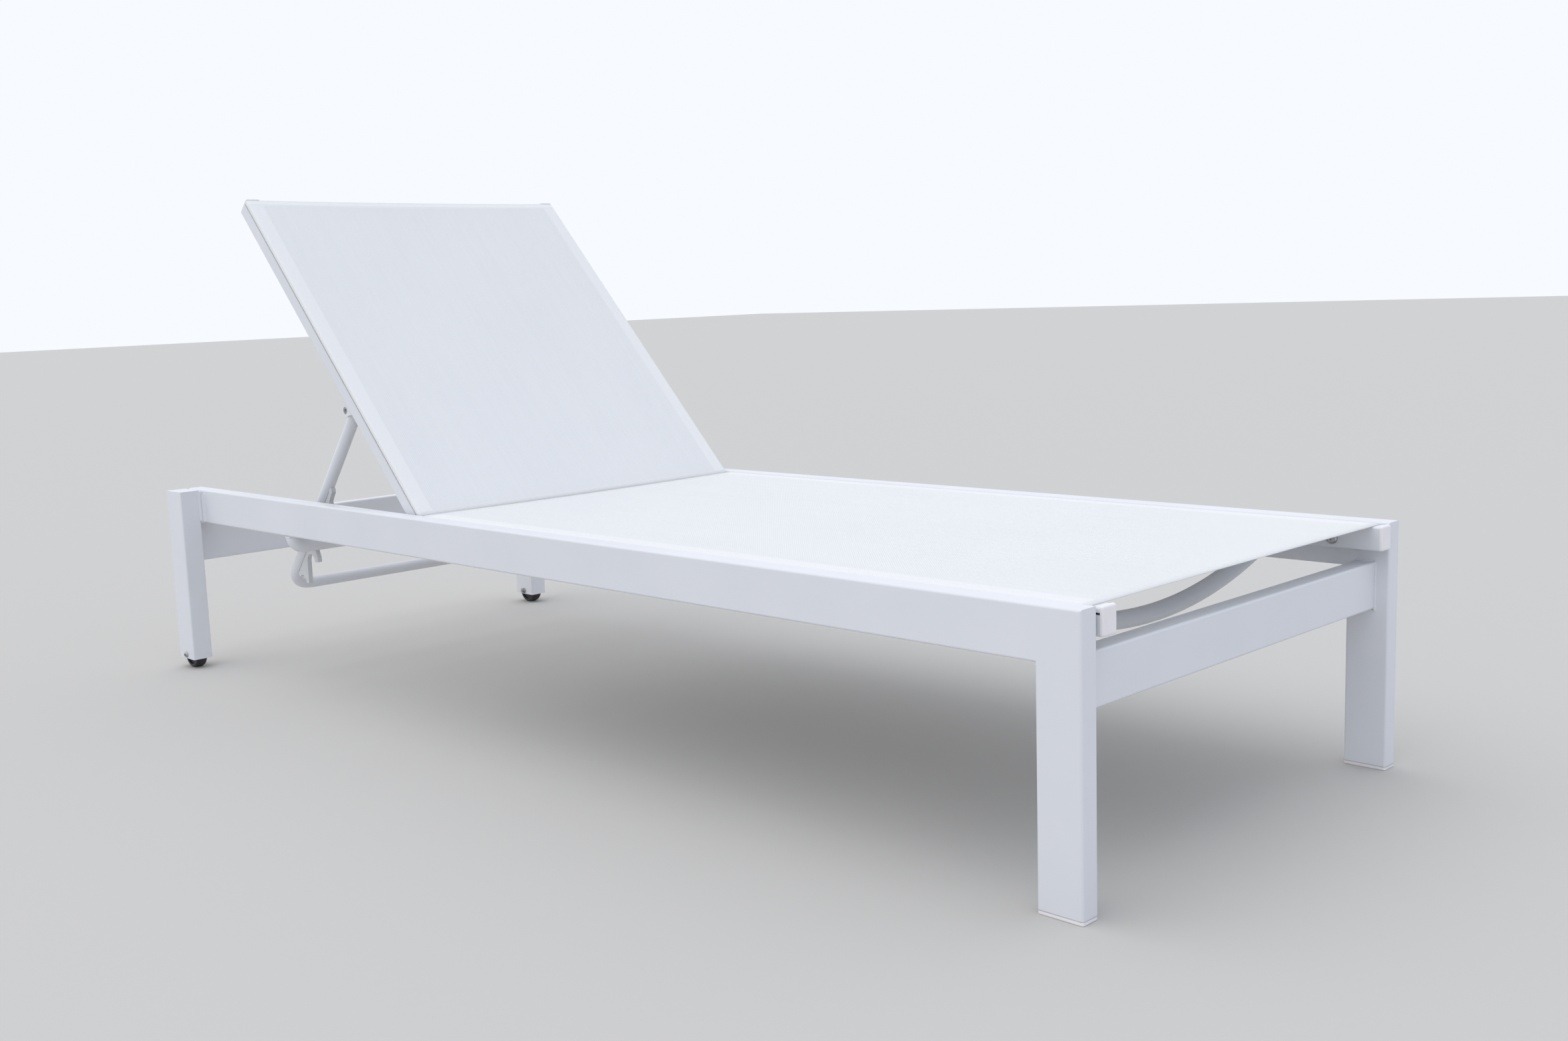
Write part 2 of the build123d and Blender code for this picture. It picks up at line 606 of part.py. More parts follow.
def frame_nodes():
    nodes = {
        "side_rail_near": side_rail(),
        "side_rail_far": far(side_rail()),
        "side_rail_end_plugs": pair(rail_end_plug()),
        "foot_leg_near": foot_leg(),
        "foot_leg_far": far(foot_leg()),
        "foot_corner_welds": pair(corner_weld()),
        "foot_glides": pair(foot_glide()),
        "head_leg_near": head_leg(),
        "head_leg_far": far(head_leg()),
        "head_leg_weld_blocks": pair(head_leg_weld_block()),
        "foot_cross_rail": foot_cross_rail(),
        "head_cross_rail": head_cross_rail(),
        "hook_rest_tube": hook_rest_tube(),
        "hook_rest_welds": pair(hook_rest_weld()),
        "seat_rail_near": seat_rail(),
        "seat_rail_far": far(seat_rail()),
        "seat_rail_end_caps": seat_rail_end_caps(),
        "seat_rail_spacers": seat_rail_spacers(),
        "seat_rail_bolts": seat_rail_bolts(),
        "seat_sling": sling(SEAT_SLING_X),
        "seat_splines": pair(spline((SEAT_RAIL_HEAD_X, SEAT_SLING_X[1]))),
        "hinge_bolts": pair(hinge_bolt()),
        "hinge_spacers": pair(hinge_spacer()),
        "wheel_axle_bolts": pair(wheel_axle_bolt()),
        "wheel_axle_nuts": pair(wheel_axle_nut()),
        "wheel_bushes": wheel_bushes(),
        "wheel_near": wheel(),
        "wheel_far": far(wheel()),
    }
    for name, x in SEAT_BOW_X.items():
        nodes[f"seat_bow_{name}"] = bow(x, BOW_END_Z)
    return nodes


def backrest_nodes():
    sling_x = (back_x(BACK_SLING_U[1]), back_x(BACK_SLING_U[0]))
    nodes = {
        "backrest_rail_near": back_rail(),
        "backrest_rail_far": far(back_rail()),
        "backrest_top_caps": pair(back_top_cap()),
        "backrest_hinge_caps": pair(back_hinge_cap()),
        "backrest_sling": sling(sling_x),
        "backrest_splines": pair(spline(sling_x)),
        "prop_lugs": pair(lug()),
        "prop_bolts": pair(prop_bolt()),
        "prop_nuts": pair(prop_nut()),
        "prop_washers": pair(prop_washer()),
    }
    for name, along in BACK_BOW_U.items():
        nodes[f"backrest_bow_{name}"] = bow(back_x(along), BOW_END_Z)
    return {name: raised(shape) for name, shape in nodes.items()}


def prop_nodes():
    nodes = {
        "prop_tube": prop_tube(),
        "prop_end_plugs": pair(prop_end_plug()),
        "rack_plate_near": rack_plate(),
        "rack_plate_far": far(rack_plate()),
    }
    return {name: swung(shape) for name, shape in nodes.items()}


def main():
    os.makedirs("parts", exist_ok=True)
    for name, shape in {**frame_nodes(), **backrest_nodes(), **prop_nodes()}.items():
        export_step(shape, f"parts/{name}.step")
        print(name, [round(value, 1) for value in (*shape.bounding_box().min, *shape.bounding_box().max)])


main()
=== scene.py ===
"""Looks of the reclining sun lounger: stretched slings, weld beads, finishes, light and camera."""

import json
from math import cos, pi, radians, sin, sqrt

import bmesh
import bpy
from mathutils import Matrix, Vector


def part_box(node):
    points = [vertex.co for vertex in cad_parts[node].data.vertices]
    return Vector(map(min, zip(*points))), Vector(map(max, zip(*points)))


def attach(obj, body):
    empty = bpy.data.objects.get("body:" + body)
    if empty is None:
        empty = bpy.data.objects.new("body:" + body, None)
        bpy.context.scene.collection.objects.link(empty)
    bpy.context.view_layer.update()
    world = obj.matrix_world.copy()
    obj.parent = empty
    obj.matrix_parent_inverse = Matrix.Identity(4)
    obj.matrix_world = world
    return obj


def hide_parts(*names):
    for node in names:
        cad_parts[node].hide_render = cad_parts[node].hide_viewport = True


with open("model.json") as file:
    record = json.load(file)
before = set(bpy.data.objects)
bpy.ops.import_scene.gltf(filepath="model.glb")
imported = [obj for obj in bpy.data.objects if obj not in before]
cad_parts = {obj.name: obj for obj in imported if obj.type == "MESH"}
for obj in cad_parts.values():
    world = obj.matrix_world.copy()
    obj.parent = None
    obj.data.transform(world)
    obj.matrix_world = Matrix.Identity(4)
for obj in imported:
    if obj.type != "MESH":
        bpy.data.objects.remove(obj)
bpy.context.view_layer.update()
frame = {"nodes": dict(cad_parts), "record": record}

MM = 0.001

# Sling cloth: one section across the lounger, repeated in rows along it
CLOTH_T = 1.0 * MM
CLOTH_CLEAR = 0.25 * MM
SLOT_DROP = 7.5 * MM
SLOT_REACH = 4.0 * MM
CORNER_R = 2.5 * MM
SAG = 3.0 * MM
SEAT_EDGE_BOW = 4.0 * MM
BACK_EDGE_BOW = 1.0 * MM
YARN = 1.25 * MM
SIDE_BAND = 36.0 * MM
END_HEM = 12.0 * MM
# Pitch of the teeth along the edge of the painted slot shade
SLOT_SHADE_PITCH = 3.2 * MM
CREASE_TUCK = 7.0 * MM
CREASE_CLEAR = 1.2 * MM
# Painted shade along the rails' slots, where the cloth tucks in: its width, its teeth and its colour
SLOT_SHADE_REACH = 5.6 * MM
SLOT_SHADE_TOOTH = 0.8 * MM
SLOT_SHADE_COLOUR = (0.09, 0.095, 0.11, 1)
SEAM_IN = 2.0 * MM
SEAM_HALF = 0.5 * MM
CORNER_STEPS = 6
SPAN_STEPS = 22
ROWS = 64

# Weld beads
BEAD_R = 1.9 * MM
BEAD_STEP = 3.2 * MM
BEAD_RIPPLE = 0.18
BEAD_SIDES = 12
LEG_WELD_R = 3.2 * MM
LEG_WELD_RIPPLE = 0.015
BOW_WELD_R = 1.4 * MM
BOW_WELD_INSET = 0.4 * MM
BOW_SEAT_SHARE = 1.13
COLLAR_WELD_R = 2.1 * MM
RACK_WELD_R = 1.5 * MM
SEAM_R = 0.45 * MM
SEAM_CUT = 2.2 * MM
RAIL_END_CUT = 2.5 * MM
WELD_GAP = 0.3 * MM
RING_STEPS = 28

# The prop's leg, as it stands at rest
PROP_ANGLE = 50.4
RACK_FROM = 172.0 * MM
RACK_TO = 366.0 * MM
RACK_GAP_FROM = 262.0 * MM
RACK_GAP = 29.0 * MM
RACK_HALF_T = 4.0 * MM
PROP_R = 10.0 * MM
PROP_Y = 295.0 * MM

# Camera
CAMERA_AT = Vector((1.8482, -1.6617, 0.6455))
CAMERA_YAW = 0.8079
CAMERA_PITCH = 0.1432
CAMERA_ROLL = -0.0370
LENS_MM = 37.0
SHIFT = (0.0301, 0.0019)

# Light
AIR_NEUTRAL = (0.93, 0.955, 1.0, 1)
AIR_BLUE = (0.74, 0.81, 0.95, 1)
AIR_LIGHT = 1.0
SKY_FROM = (-0.15, -0.34, 0.92)
SKY_SPREAD = 70.0
SKY_LIGHT = 0.75
FLOOR_COLOUR = (0.57, 0.555, 0.53, 1)
FLOOR_HALF = 30.0


# ---- material building blocks --------------------------------------------------------

class Shader:
    """A material under construction: nodes are added by type and joined by socket name."""

    def __init__(self, name, **sockets):
        self.material = bpy.data.materials.new(name)
        self.material.use_nodes = True
        self.tree = self.material.node_tree
        self.bsdf = self.tree.nodes["Principled BSDF"]
        for socket, value in sockets.items():
            self.set(self.bsdf, socket, value)

    @staticmethod
    def set(node, socket, value):
        node.inputs[socket.replace("_", " ")].default_value = value

    def add(self, kind, inputs=None, **properties):
        node = self.tree.nodes.new(kind)
        for name, value in properties.items():
            setattr(node, name, value)
        for socket, value in (inputs or {}).items():
            if isinstance(value, bpy.types.NodeSocket):
                self.tree.links.new(value, node.inputs[socket])
            else:
                node.inputs[socket].default_value = value
        return node

    def link(self, output, socket):
        self.tree.links.new(output, self.bsdf.inputs[socket])

    def math(self, operation, a, b=0.0):
        return self.add("ShaderNodeMath", {0: a, 1: b}, operation=operation).outputs[0]

    def noise(self, vector, scale, detail=3.0, roughness=0.5):
        inputs = {"Vector": vector, "Scale": scale, "Detail": detail, "Roughness": roughness}
        return self.add("ShaderNodeTexNoise", inputs).outputs["Fac"]

    def place(self, stretch=(1, 1, 1)):
        """Object coordinates, in metres, optionally stretched."""
        coordinates = self.add("ShaderNodeTexCoord").outputs["Object"]
        return self.stretched(coordinates, stretch)

    def stretched(self, vector, scale):
        return self.add("ShaderNodeMapping", {"Vector": vector, "Scale": scale}).outputs["Vector"]

    def remap(self, value, low, high, to_low, to_high):
        inputs = {"Value": value, "From Min": low, "From Max": high,
                  "To Min": to_low, "To Max": to_high}
        return self.add("ShaderNodeMapRange", inputs).outputs["Result"]

    def mix(self, factor, a, b):
        node = self.add("ShaderNodeMix", data_type="RGBA")
        for index, value in ((0, factor), (6, a), (7, b)):
            if isinstance(value, bpy.types.NodeSocket):
                self.tree.links.new(value, node.inputs[index])
            else:
                node.inputs[index].default_value = value
        return node.outputs[2]

    def bump(self, height, distance, strength=1.0):
        inputs = {"Height": height, "Distance": distance, "Strength": strength}
        self.link(self.add("ShaderNodeBump", inputs).outputs["Normal"], "Normal")


def powder_coat(name, colour, dust, roughness=0.42, texture=0.00004):
    """Sprayed and baked powder: faint orange peel, cloudy tone, dust settled in a few places."""
    shader = Shader(name, Roughness=roughness, Specular_IOR_Level=0.45, Coat_Weight=0.12,
                    Coat_Roughness=0.3)
    place = shader.place()
    cloud = shader.noise(place, 6.0, 4.0, 0.6)
    tone = shader.remap(cloud, 0.35, 0.7, 0.0, 1.0)
    shader.link(shader.mix(tone, colour, dust), "Base Color")
    shader.link(shader.remap(cloud, 0.3, 0.7, roughness - 0.05, roughness + 0.07), "Roughness")
    peel = shader.noise(place, 420.0, 2.0, 0.45)
    shader.bump(peel, texture)
    return shader.material


def moulded_plastic(name, colour, tint, roughness=0.5, grain=900.0, depth=0.00003):
    """Moulded plastic: slightly uneven tone and a fine grain."""
    shader = Shader(name, Roughness=roughness, Specular_IOR_Level=0.4)
    place = shader.place()
    cloud = shader.noise(place, 22.0, 3.0)
    shader.link(shader.mix(shader.remap(cloud, 0.35, 0.65, 0, 1), colour, tint), "Base Color")
    shader.link(shader.remap(cloud, 0.3, 0.7, roughness - 0.06, roughness + 0.08), "Roughness")
    shader.bump(shader.noise(place, grain, 2.0), depth)
    return shader.material


def steel(name, colour, dark, roughness=0.32):
    """Turned stainless steel with fine tool marks and a little tarnish."""
    shader = Shader(name, Metallic=1.0, Roughness=roughness)
    place = shader.place()
    spots = shader.noise(place, 160.0, 4.0, 0.6)
    shader.link(shader.mix(shader.remap(spots, 0.4, 0.7, 0, 1), colour, dark), "Base Color")
    shader.link(shader.remap(spots, 0.3, 0.7, roughness - 0.08, roughness + 0.12), "Roughness")
    lines = shader.noise(shader.place((1, 30, 1)), 700.0, 2.0)
    shader.bump(lines, 0.00002)
    return shader.material


def woven_mesh(name, colour, shade, hole_share):
    """Coated yarn in a 2/1 twill, with light through its small holes except where it is hemmed."""
    shader = Shader(name, Roughness=0.55, Specular_IOR_Level=0.35, Sheen_Weight=0.15,
                    Sheen_Roughness=0.5)
    uv = shader.add("ShaderNodeUVMap", uv_map="cloth").outputs["UV"]
    split = shader.add("ShaderNodeSeparateXYZ", {"Vector": uv})
    across = shader.math("DIVIDE", split.outputs["X"], YARN)
    along = shader.math("DIVIDE", split.outputs["Y"], YARN)
    warp = yarn_height(shader, across, along, 0.0)
    weft = yarn_height(shader, along, across, 0.5)
    height = shader.math("MAXIMUM", warp, weft)
    batch = shader.noise(shader.stretched(uv, (140, 3, 1)), 1.0)
    cloud = shader.noise(shader.stretched(uv, (5, 5, 1)), 1.0)
    # Painted shade: the weave darker where its yarns dip low between the crossings; batch and cloud add
    # random tone
    depth = shader.remap(height, 0.15, 0.9, 1.0, 0.0)
    tone = shader.math("ADD", shader.math("MULTIPLY", depth, 0.45), shader.math("MULTIPLY", batch, 0.25))
    tone = shader.math("ADD", tone, shader.math("MULTIPLY", cloud, 0.2))
    doubled, slot_shade = hem_shares(shader, split.outputs["Y"])
    tone = shader.math("MULTIPLY", tone, shader.remap(doubled, 0.0, 1.0, 1.0, 0.45))
    woven = shader.mix(tone, colour, shade)
    # Painted shade: the dark band along the slots, with the faint stitch line of the end hems, laid over
    # the weave
    shader.link(shader.mix(slot_shade, woven, SLOT_SHADE_COLOUR), "Base Color")
    shader.bump(height, 0.00025, 0.8)
    open_weave = shader.remap(height, hole_share - 0.04, hole_share + 0.04, 0.0, 1.0)
    shader.link(shader.math("MAXIMUM", open_weave, doubled), "Alpha")
    return shader.material


def hem_shares(shader, along):
    """Where the cloth is doubled over a rail or hem, the painted shade along the slots where it tucks
    into the rails, and the dark stitch line at its end hems.
    """
    edge = shader.add("ShaderNodeUVMap", uv_map="edge").outputs["UV"]
    edge = shader.add("ShaderNodeSeparateXYZ", {"Vector": edge})
    side, end = edge.outputs["X"], edge.outputs["Y"]
    over_rail = shader.math("LESS_THAN", side, SIDE_BAND)
    doubled = shader.math("MAXIMUM", over_rail, shader.math("LESS_THAN", end, END_HEM))
    beat = shader.math("FRACT", shader.math("DIVIDE", along, SLOT_SHADE_PITCH))
    tooth = shader.math("LESS_THAN", beat, 0.55)
    reach = shader.math("ADD", SLOT_SHADE_REACH, shader.math("MULTIPLY", tooth, SLOT_SHADE_TOOTH))
    # Painted shade: a dark, toothed band along the cloth's side edge, where it goes down into the rail's
    # slot
    slot_shade = shader.math("MULTIPLY", shader.math("LESS_THAN", side, reach), 0.85)
    from_seam = shader.math("ABSOLUTE", shader.math("SUBTRACT", end, END_HEM - SEAM_IN))
    seam = shader.math("MULTIPLY", shader.math("LESS_THAN", from_seam, SEAM_HALF), 0.12)
    return doubled, shader.math("MAXIMUM", slot_shade, seam)


def yarn_height(shader, across, along, phase):
    """Height of one set of yarns: round across each yarn, and dipping under every third crossing."""
    index = shader.math("FLOOR", across)
    within = shader.math("FRACT", across)
    round_top = shader.math("SINE", shader.math("MULTIPLY", within, pi))
    crossing = shader.math("ADD", along, shader.math("ADD", index, phase))
    step = shader.math("MULTIPLY", crossing, 2 * pi / 3)
    wave = shader.math("MULTIPLY", shader.math("COSINE", step), 0.3)
    return shader.math("MULTIPLY", round_top, shader.math("ADD", wave, 0.68))


def finishes():
    """Each of the record's material slots, with its material."""
    return {
        "white_aluminium": powder_coat(
            "white_powder_coat", (0.765, 0.775, 0.81, 1), (0.735, 0.748, 0.78, 1)),
        "cast_aluminium": powder_coat(
            "cast_powder_coat", (0.68, 0.69, 0.70, 1), (0.58, 0.59, 0.60, 1), 0.5, 0.00012),
        # The second colour is where the weave's painted shade and its random tone lean
        "sling_fabric": woven_mesh(
            "sling_weave", (0.87, 0.87, 0.86, 1), (0.66, 0.675, 0.70, 1), 0.10),
        "white_plastic": moulded_plastic(
            "white_moulding", (0.90, 0.87, 0.88, 1), (0.86, 0.83, 0.84, 1)),
        "spline_plastic": moulded_plastic(
            "grey_spline", (0.20, 0.21, 0.22, 1), (0.15, 0.16, 0.17, 1)),
        "grey_nylon": moulded_plastic(
            "grey_nylon", (0.50, 0.50, 0.50, 1), (0.44, 0.44, 0.44, 1)),
        "steel_fixings": steel(
            "stainless_steel", (0.50, 0.50, 0.50, 1), (0.28, 0.28, 0.29, 1)),
        "wheel_plastic": moulded_plastic(
            "black_wheel", (0.022, 0.022, 0.023, 1), (0.05, 0.05, 0.05, 1), 0.42, 600.0, 0.00006),
    }


def paint_frame(finish):
    for part in frame["record"]["subparts"]:
        node = frame["nodes"][part["node"]]
        for slot in node.material_slots:
            slot.material = finish[part["material_slot"]]


# ---- mesh building -------------------------------------------------------------------

def new_piece(name, mesh, finish, slot_name, body):
    """Adds a piece with the material of its slot in the record, on the body that it rides on."""
    piece = bpy.data.objects.new(name, mesh)
    bpy.context.scene.collection.objects.link(piece)
    mesh.materials.append(finish[slot_name])
    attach(piece, body)
    return piece


# ---- sling cloth ---------------------------------------------------------------------

def cloth_section(out, inner):
    """Near half of the cloth's section: (y, height from the rails' top, share of the sag)."""
    lift = CLOTH_CLEAR + CLOTH_T / 2
    radius = CORNER_R + lift
    face = -out - lift
    points = [(-out + SLOT_REACH, -SLOT_DROP, 0), (-out + 1 * MM, -SLOT_DROP, 0)]
    points += [(face + 0.4 * MM, -SLOT_DROP + 0.2 * MM, 0)]
    points += [(face, -SLOT_DROP + 1 * MM, 0), (face, -CORNER_R - 1 * MM, 0)]
    for step in range(CORNER_STEPS + 1):
        turn = step / CORNER_STEPS * pi / 2
        points.append((-out + CORNER_R - radius * cos(turn), -CORNER_R + radius * sin(turn), 0))
    points += [(-out + 8 * MM, lift, 0), (-inner - 2 * MM, lift, 0)]
    for step in range(1, SPAN_STEPS + 1):
        y = -inner + inner * step / SPAN_STEPS
        points.append((y, lift, 1 - (y / inner) ** 2))
    return points


def cloth_mesh(name, rails, ends, bow, bend):
    """A sheet over two rails. ends are its low and high x; bend turns a flat point into its place."""
    out, inner, top = rails
    half = cloth_section(out, inner)
    section = half + [(-y, z, share) for y, z, share in reversed(half[:-1])]
    length = ends[1] - ends[0]
    mesh = bpy.data.meshes.new(name)
    shape = bmesh.new()
    layer = shape.loops.layers.uv.new("cloth")
    edge_layer = shape.loops.layers.uv.new("edge")
    arc = [0.0]
    for (y0, z0, _), (y1, z1, _) in zip(section, section[1:]):
        arc.append(arc[-1] + sqrt((y1 - y0) ** 2 + (z1 - z0) ** 2))
    grid, place = [], {}
    for row in range(ROWS + 1):
        along = row / ROWS
        line = []
        for index, (y, z, share) in enumerate(section):
            pull = bow * share * (2 * along - 1) ** 5
            x = ends[0] + length * along - pull
            easing = 1 - (2 * along - 1) ** 8
            point = bend(Vector((x, y, top + z - SAG * share * (0.35 + 0.65 * easing))))
            vertex = shape.verts.new(point)
            beside = (min(arc[index], arc[-1] - arc[index]), length * min(along, 1 - along))
            place[vertex] = ((arc[index], x - ends[0]), beside)
            line.append(vertex)
        grid.append(line)
    for low, high in zip(grid, grid[1:]):
        for corner in range(len(section) - 1):
            face = shape.faces.new((low[corner], high[corner], high[corner + 1], low[corner + 1]))
            face.smooth = True
            for loop in face.loops:
                loop[layer].uv, loop[edge_layer].uv = place[loop.vert]
    shape.normal_update()
    shape.to_mesh(mesh)
    shape.free()
    return mesh


def thicken(piece, thickness):
    """Gives a single-layer mesh its thickness, half to each side."""
    solid = piece.modifiers.new("cloth", "SOLIDIFY")
    solid.thickness = thickness
    solid.offset = 0
    bpy.context.view_layer.objects.active = piece
    piece.select_set(True)
    bpy.ops.object.modifier_apply(modifier=solid.name)
    piece.select_set(False)


def rail_size():
    """Outer face, inner face and top of the seat's sling rails."""
    low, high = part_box("seat_rail_far")
    return high[1], low[1], high[2]


def stretch_cloth(piece, node):
    thicken(piece, CLOTH_T)
    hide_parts(node)


def seat_cloth(finish):
    low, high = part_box("seat_sling")
    ends = (low[0] + CREASE_CLEAR, high[0])
    mesh = cloth_mesh("seat_cloth", rail_size(), ends, SEAT_EDGE_BOW, lambda point: point)
    piece = new_piece("seat_cloth", mesh, finish, "sling_fabric", "frame")
    stretch_cloth(piece, "seat_sling")


def joint(name):
    return next(item for item in frame["record"]["behaviour"]["joints"] if item["name"] == name)


def back_pose():
    """Turns a point of the flat backrest to its place at rest."""
    recline = joint("backrest_recline")
    hinge = Vector(recline["pos_m"])
    angle = -radians(recline["range_deg"][0])
    turn = Matrix.Rotation(angle, 4, "Y")
    return Matrix.Translation(hinge) @ turn @ Matrix.Translation(-hinge)


def flat_back_span():
    """Low and high x of the backrest's sling when the back lies flat."""
    undo = back_pose().inverted()
    xs = [(undo @ vertex.co).x for vertex in frame["nodes"]["backrest_sling"].data.vertices]
    return min(xs), max(xs)


def back_cloth(finish):
    low, high = flat_back_span()
    ends = (low, high + CREASE_TUCK)
    pose = back_pose()
    mesh = cloth_mesh("back_cloth", rail_size(), ends, BACK_EDGE_BOW, lambda point: pose @ point)
    piece = new_piece("back_cloth", mesh, finish, "sling_fabric", "backrest")
    stretch_cloth(piece, "backrest_sling")


# ---- weld beads ----------------------------------------------------------------------

def bead(shape, points, radius, ripple):
    """A scalloped bead of weld along a polyline, with one ripple each BEAD_STEP."""
    path = [Vector(point) for point in points]
    lengths = [(end - start).length for start, end in zip(path, path[1:])]
    total = sum(lengths)
    count = max(6, int(total / BEAD_STEP * 4))
    turns = [2 * pi * step / BEAD_SIDES for step in range(BEAD_SIDES)]
    rings = []
    for index in range(count + 1):
        left = total * index / count
        leg = 0
        while leg < len(lengths) - 1 and left > lengths[leg]:
            left -= lengths[leg]
            leg += 1
        heading = (path[leg + 1] - path[leg]).normalized()
        centre = path[leg] + heading * left
        side = heading.orthogonal().normalized()
        other = heading.cross(side)
        scallop = abs(sin(pi * index / 4))
        swell = radius * (1 - ripple + ripple * scallop + 0.28 * ripple * sin(index * 2.3))
        if index in (0, count):
            swell *= 0.4
        rings.append([shape.verts.new(centre + swell * (cos(a) * side + sin(a) * other))
                      for a in turns])
    for low, high in zip(rings, rings[1:]):
        for step in range(BEAD_SIDES):
            following = (step + 1) % BEAD_SIDES
            shape.faces.new((low[step], low[following], high[following], high[step])).smooth = True
    shape.faces.new(rings[0][::-1])
    shape.faces.new(rings[-1])


def bead_piece(name, finish, body, paths, slot_name="white_aluminium", radius=BEAD_R,
               ripple=BEAD_RIPPLE):
    """One piece with a bead along each path."""
    shape = bmesh.new()
    for points in paths:
        bead(shape, points, radius, ripple)
    bmesh.ops.recalc_face_normals(shape, faces=shape.faces)
    mesh = bpy.data.meshes.new(name)
    shape.to_mesh(mesh)
    shape.free()
    return new_piece(name, mesh, finish, slot_name, body)


def cut_corners(low, high, cut):
    """A rectangle's outline, closed, with its four corners cut off."""
    (a0, b0), (a1, b1) = low, high
    return [(a0, b0 + cut), (a0, b1 - cut), (a0 + cut, b1), (a1 - cut, b1),
            (a1, b1 - cut), (a1, b0 + cut), (a1 - cut, b0), (a0 + cut, b0), (a0, b0 + cut)]


def tube_end(node, y):
    """The outline of a rectangular cross rail's end, just outside its faces."""
    low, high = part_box(node)
    outline = cut_corners((low[0] - WELD_GAP, low[2] - WELD_GAP),
                          (high[0] + WELD_GAP, high[2] + WELD_GAP), RAIL_END_CUT)
    return [(x, y, z) for x, z in outline]


def glide_gap_shades(finish):
    """A thin grey ring at the joint between each foot leg and its glide, standing in for the shade in
    the gap there.
    """
    low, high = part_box("foot_leg_far")
    loop = cut_corners(low[:2], high[:2], SEAM_CUT)
    paths = [[(x, side * y, low[2]) for x, y in loop] for side in (-1, 1)]
    bead_piece("glide_gap_shades", finish, "frame", paths, "grey_nylon", radius=SEAM_R)


def circle(x, y, z, radius, upright):
    """A ring of points about (x, y, z): in the XZ plane when upright, otherwise level."""
    turns = [2 * pi * step / RING_STEPS for step in range(RING_STEPS + 1)]
    if upright:
        return [(x + radius * cos(a), y, z + radius * sin(a)) for a in turns]
    return [(x + radius * cos(a), y + radius * sin(a), z) for a in turns]


def middle_x(node):
    low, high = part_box(node)
    return (low[0] + high[0]) / 2


def bow_end(low, high):
    """Radius of a bow's tube, and the height at which it meets the sling rail."""
    radius = (high[0] - low[0]) / 2
    return radius + 0.2 * MM, high[2] - BOW_SEAT_SHARE * radius


def head_leg_joints():
    """The filled joints between each head leg and the side rail: up its foot side, and along its top."""
    low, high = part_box("head_leg_far")
    rail_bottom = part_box("side_rail_far")[0][2]
    paths = []
    for side in (-1, 1):
        foot_side = (high[0] - 1.4 * MM, side * (low[1] - 0.6 * MM))
        paths.append([(*foot_side, rail_bottom + 4 * MM), (*foot_side, high[2] - 3.5 * MM)])
        top = (side * (low[1] - 4 * MM), high[2] - 4.2 * MM)
        paths.append([(low[0] + 5 * MM, *top), (high[0] - 4 * MM, *top)])
    return paths


def frame_welds(finish):
    """Beads where the cross rails, the head legs, the hook-rest tube and the seat bows are welded."""
    rail_edge = -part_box("side_rail_near")[1][1]
    leg_edge = -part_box("head_leg_near")[1][1]
    rail_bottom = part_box("side_rail_near")[0][2]
    low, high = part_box("foot_cross_rail")
    paths = []
    for side in (-1, 1):
        edge = (high[0], side * rail_edge)
        paths.append(tube_end("foot_cross_rail", side * rail_edge))
        paths.append(tube_end("head_cross_rail", side * leg_edge))
        paths.append([(*edge, low[2] + 5 * MM), (*edge, low[2] - 3 * MM)])
    bead_piece("cross_rail_welds", finish, "frame", paths)
    bead_piece("head_leg_welds", finish, "frame", head_leg_joints(), radius=LEG_WELD_R,
               ripple=LEG_WELD_RIPPLE)
    low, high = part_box("hook_rest_tube")
    radius = (high[0] - low[0]) / 2
    centre_x, height = middle_x("hook_rest_tube"), rail_bottom - 2.2 * MM
    rings = [circle(centre_x, side * (high[1] - radius), height, radius - 1.2 * MM, False)
             for side in (-1, 1)]
    bead_piece("hook_tube_welds", finish, "frame", rings, radius=COLLAR_WELD_R)
    bows = []
    for name in ("seat_bow_foot", "seat_bow_middle", "seat_bow_head"):
        low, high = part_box(name)
        radius, height = bow_end(low, high)
        bows += [circle(middle_x(name), side * (high[1] - BOW_WELD_INSET), height, radius, True)
                 for side in (-1, 1)]
    bead_piece("seat_bow_welds", finish, "frame", bows, radius=BOW_WELD_R)


def backrest_welds(finish):
    pose = back_pose()
    undo = pose.inverted()
    paths = []
    for name in ("backrest_bow_upper", "backrest_bow_lower"):
        flat = [undo @ vertex.co for vertex in frame["nodes"][name].data.vertices]
        low = [min(point[axis] for point in flat) for axis in range(3)]
        high = [max(point[axis] for point in flat) for axis in range(3)]
        radius, height = bow_end(low, high)
        for side in (-1, 1):
            end_y = side * (high[1] - BOW_WELD_INSET)
            ring = circle((low[0] + high[0]) / 2, end_y, height, radius, True)
            paths.append([pose @ Vector(point) for point in ring])
    bead_piece("backrest_bow_welds", finish, "backrest", paths, radius=BOW_WELD_R)


def rack_welds(finish):
    """Two beads along each rack plate, where its faces meet the prop's leg."""
    pivot = Vector(joint("prop_fold")["pos_m"])
    angle = radians(PROP_ANGLE)
    leg = Vector((-cos(angle), 0, -sin(angle)))
    out = Vector((sin(angle), 0, -cos(angle)))
    reach = sqrt(PROP_R ** 2 - RACK_HALF_T ** 2) + WELD_GAP
    spans = ((RACK_FROM, RACK_GAP_FROM), (RACK_GAP_FROM + RACK_GAP, RACK_TO))
    paths = []
    for middle in (-PROP_Y, PROP_Y):
        for face in (-RACK_HALF_T - 0.4 * MM, RACK_HALF_T + 0.4 * MM):
            offset = Vector((0, middle + face, 0)) + out * reach
            paths += [[pivot + leg * low + offset, pivot + leg * high + offset]
                      for low, high in spans]
    bead_piece("rack_welds", finish, "prop", paths, "cast_aluminium", RACK_WELD_R)


# ---- studio --------------------------------------------------------------------------

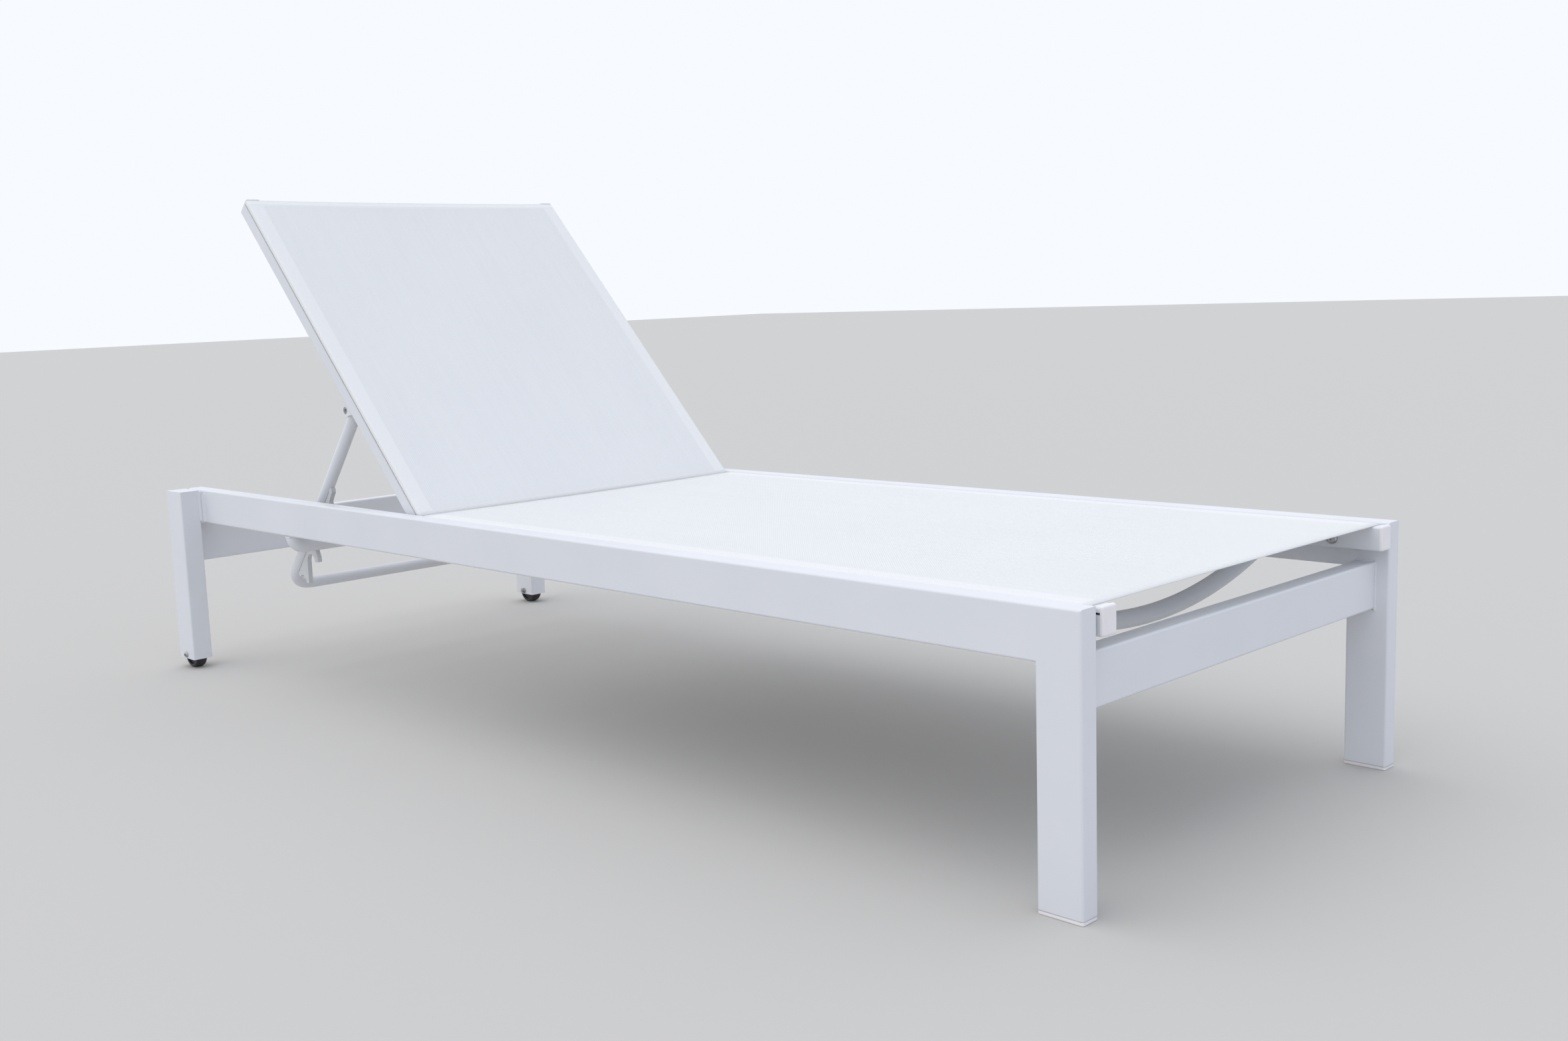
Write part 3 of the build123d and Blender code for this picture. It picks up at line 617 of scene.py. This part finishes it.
def add_camera():
    """A camera at the photograph's viewing angle."""
    level = cos(CAMERA_PITCH)
    forward = Vector((-sin(CAMERA_YAW) * level, cos(CAMERA_YAW) * level, -sin(CAMERA_PITCH)))
    right = Vector((cos(CAMERA_YAW), sin(CAMERA_YAW), 0))
    up = right.cross(forward)
    tip, lean = cos(CAMERA_ROLL), sin(CAMERA_ROLL)
    right, up = tip * right + lean * up, tip * up - lean * right
    data = bpy.data.cameras.new("camera")
    data.lens = LENS_MM
    data.sensor_width = 36.0
    data.shift_x, data.shift_y = SHIFT
    data.clip_end = 100
    bpy.context.scene.view_settings.view_transform = "Standard"
    camera = bpy.data.objects.new("camera", data)
    facing = Matrix((right, up, -forward)).transposed().to_4x4()
    camera.matrix_world = Matrix.Translation(CAMERA_AT) @ facing
    bpy.context.scene.collection.objects.link(camera)
    bpy.context.scene.camera = camera


def add_studio():
    """Plain floor, pale surroundings and one soft light."""
    mesh = bpy.data.meshes.new("floor")
    far = FLOOR_HALF
    corners = [(-far, -far, 0), (far, -far, 0), (far, far, 0), (-far, far, 0)]
    mesh.from_pydata(corners, [], [(0, 1, 2, 3)])
    floor = bpy.data.objects.new("floor", mesh)
    bpy.context.scene.collection.objects.link(floor)
    mesh.materials.append(pale_floor())
    bpy.context.scene.world = studio_air()
    add_soft_sky()


def pale_floor():
    """A plain matt floor."""
    paint = Shader("pale_floor", Base_Color=FLOOR_COLOUR, Roughness=0.9, Specular_IOR_Level=0.1)
    return paint.material


def studio_air():
    """Pale surroundings, dimmer and bluer towards the foot end."""
    world = bpy.data.worlds.new("studio")
    world.use_nodes = True
    tree = world.node_tree
    glow = tree.nodes["Background"]
    direction = tree.nodes.new("ShaderNodeSeparateXYZ")
    tree.links.new(tree.nodes.new("ShaderNodeTexCoord").outputs["Generated"], direction.inputs[0])
    footward = tree.nodes.new("ShaderNodeMapRange")
    tree.links.new(direction.outputs["X"], footward.inputs["Value"])
    footward.inputs["From Min"].default_value = -0.2
    tint = tree.nodes.new("ShaderNodeMix")
    tint.data_type = "RGBA"
    tree.links.new(footward.outputs["Result"], tint.inputs[0])
    tint.inputs[6].default_value = AIR_NEUTRAL
    tint.inputs[7].default_value = AIR_BLUE
    tree.links.new(tint.outputs[2], glow.inputs["Color"])
    glow.inputs["Strength"].default_value = AIR_LIGHT
    tree.links.new(glow.outputs[0], tree.nodes["World Output"].inputs["Surface"])
    return world


def add_soft_sky():
    """One very wide overhead source, leaning to the near side, as from a large diffuser."""
    data = bpy.data.lights.new("diffuser", "SUN")
    data.angle = radians(SKY_SPREAD)
    data.energy = SKY_LIGHT
    light = bpy.data.objects.new("diffuser", data)
    light.rotation_euler = (-Vector(SKY_FROM)).to_track_quat("-Z", "Y").to_euler()
    bpy.context.scene.collection.objects.link(light)


def main():
    finish = finishes()
    paint_frame(finish)
    seat_cloth(finish)
    back_cloth(finish)
    frame_welds(finish)
    glide_gap_shades(finish)
    backrest_welds(finish)
    rack_welds(finish)
    add_studio()
    add_camera()


main()
